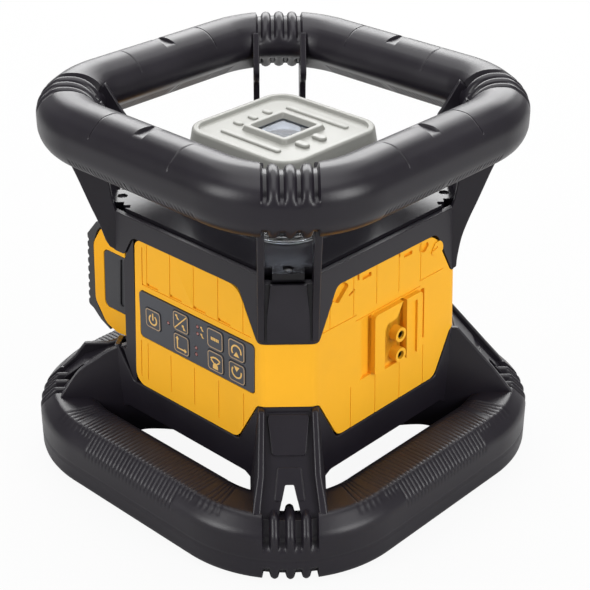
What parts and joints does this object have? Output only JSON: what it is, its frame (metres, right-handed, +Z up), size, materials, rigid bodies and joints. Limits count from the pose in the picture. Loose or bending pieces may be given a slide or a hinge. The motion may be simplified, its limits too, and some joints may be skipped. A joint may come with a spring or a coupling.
{
  "type": "rotating laser level",
  "caption": "Self-levelling rotating laser level in a roll cage, with carrying rings above and below, a keypad, a lantern window under a cap and a hinged battery door.",
  "frame": {"origin": "on the floor, under the middle of the instrument", "axes": "+Z up, -Y out of the keypad side, +X out of the accessory side, -X out of the battery door"},
  "size_m": [0.26, 0.26, 0.235],
  "materials": {
    "satin_black": "satin moulded plastic, fine grain",
    "gloss_black": "gloss",
    "yellow": "satin moulded plastic",
    "rubber": "matt",
    "cap_grey": "satin",
    "glass": "clear",
    "label": "satin film",
    "key": "satin film with printed outlines",
    "lamp_lens": "clear tinted",
    "board": "solder mask",
    "brass": "machined",
    "steel": "machined"
  },
  "bodies": {
    "housing": {"accessory_insert_lower": "brass", "accessory_insert_upper": "brass", "alert_lamp": "lamp_lens", "base_plate": "satin_black", "battery_gasket": "rubber", "battery_pack": "satin_black", "battery_terminals": "brass", "battery_tray": "satin_black", "cap_window": "glass", "core_housing": "satin_black", "deck_screw_front_left": "steel", "deck_screw_front_right": "steel", "deck_screw_rear_left": "steel", "deck_screw_rear_right": "steel", "door_hinge_pin": "steel", "foot_pad_front_left": "rubber", "foot_pad_front_right": "rubber", "foot_pad_rear_left": "rubber", "foot_pad_rear_right": "rubber", "gimbal_yoke": "steel", "keypad_bezel": "label", "keypad_board": "board", "lantern_glass": "glass", "level_actuator_x": "steel", "level_actuator_y": "steel", "lower_cage": "satin_black", "main_board": "board", "manual_lamp": "lamp_lens", "power_lamp": "lamp_lens", "side_shell": "yellow", "slope_x_lamp": "lamp_lens", "slope_y_lamp": "lamp_lens", "top_cap": "cap_grey", "top_deck": "gloss_black", "tripod_insert": "brass", "upper_cage": "satin_black"},
    "battery_door": {"battery_door": "yellow", "door_grip_front": "rubber", "door_grip_rear": "rubber", "door_bumper": "rubber", "latch_pin": "steel"},
    "battery_latch": {"battery_latch": "satin_black"},
    "clockwise_button": {"clockwise_button": "key"},
    "counterclockwise_button": {"counterclockwise_button": "key"},
    "manual_button": {"manual_button": "key"},
    "power_button": {"power_button": "key"},
    "scan_button": {"scan_button": "key"},
    "slope_button": {"slope_button": "key"},
    "speed_button": {"speed_button": "key"},
    "outer_gimbal": {"outer_gimbal_ring": "steel"},
    "inner_gimbal": {"laser_tube": "steel", "spindle_bearing": "steel", "spin_motor_stator": "brass"},
    "rotor": {"rotor_spindle": "steel", "prism_head": "satin_black", "prism_block": "glass"}
  },
  "joints": [
    {"name": "door_hinge", "type": "hinge", "parent": "housing", "child": "battery_door", "pos_m": [-0.0865, 0, 0.1308], "axis": [0, 1, 0], "range_deg": [0, 95]},
    {"name": "latch_hinge", "type": "hinge", "parent": "battery_door", "child": "battery_latch", "pos_m": [-0.104, 0, 0.0521], "axis": [0, 1, 0], "range_deg": [0, 20], "stiffness_Nm_per_rad": 0.05, "springref_deg": -17.19},
    {"name": "clockwise_press", "type": "slide", "parent": "housing", "child": "clockwise_button", "axis": [0, 1, 0], "range_m": [0, 0.0005], "stiffness_N_per_m": 800},
    {"name": "counterclockwise_press", "type": "slide", "parent": "housing", "child": "counterclockwise_button", "axis": [0, 1, 0], "range_m": [0, 0.0005], "stiffness_N_per_m": 800},
    {"name": "manual_press", "type": "slide", "parent": "housing", "child": "manual_button", "axis": [0, 1, 0], "range_m": [0, 0.0005], "stiffness_N_per_m": 800},
    {"name": "power_press", "type": "slide", "parent": "housing", "child": "power_button", "axis": [0, 1, 0], "range_m": [0, 0.0005], "stiffness_N_per_m": 800},
    {"name": "scan_press", "type": "slide", "parent": "housing", "child": "scan_button", "axis": [0, 1, 0], "range_m": [0, 0.0005], "stiffness_N_per_m": 800},
    {"name": "slope_press", "type": "slide", "parent": "housing", "child": "slope_button", "axis": [0, 1, 0], "range_m": [0, 0.0005], "stiffness_N_per_m": 800},
    {"name": "speed_press", "type": "slide", "parent": "housing", "child": "speed_button", "axis": [0, 1, 0], "range_m": [0, 0.0005], "stiffness_N_per_m": 800},
    {"name": "level_tilt_y", "type": "hinge", "parent": "housing", "child": "outer_gimbal", "pos_m": [0, 0, 0.095], "axis": [0, 1, 0], "range_deg": [-5, 5]},
    {"name": "level_tilt_x", "type": "hinge", "parent": "outer_gimbal", "child": "inner_gimbal", "pos_m": [0, 0, 0.095], "axis": [1, 0, 0], "range_deg": [-5, 5]},
    {"name": "head_spin", "type": "hinge", "parent": "inner_gimbal", "child": "rotor", "pos_m": [0, 0, 0.18], "axis": [0, 0, 1], "continuous": true}
  ]
}
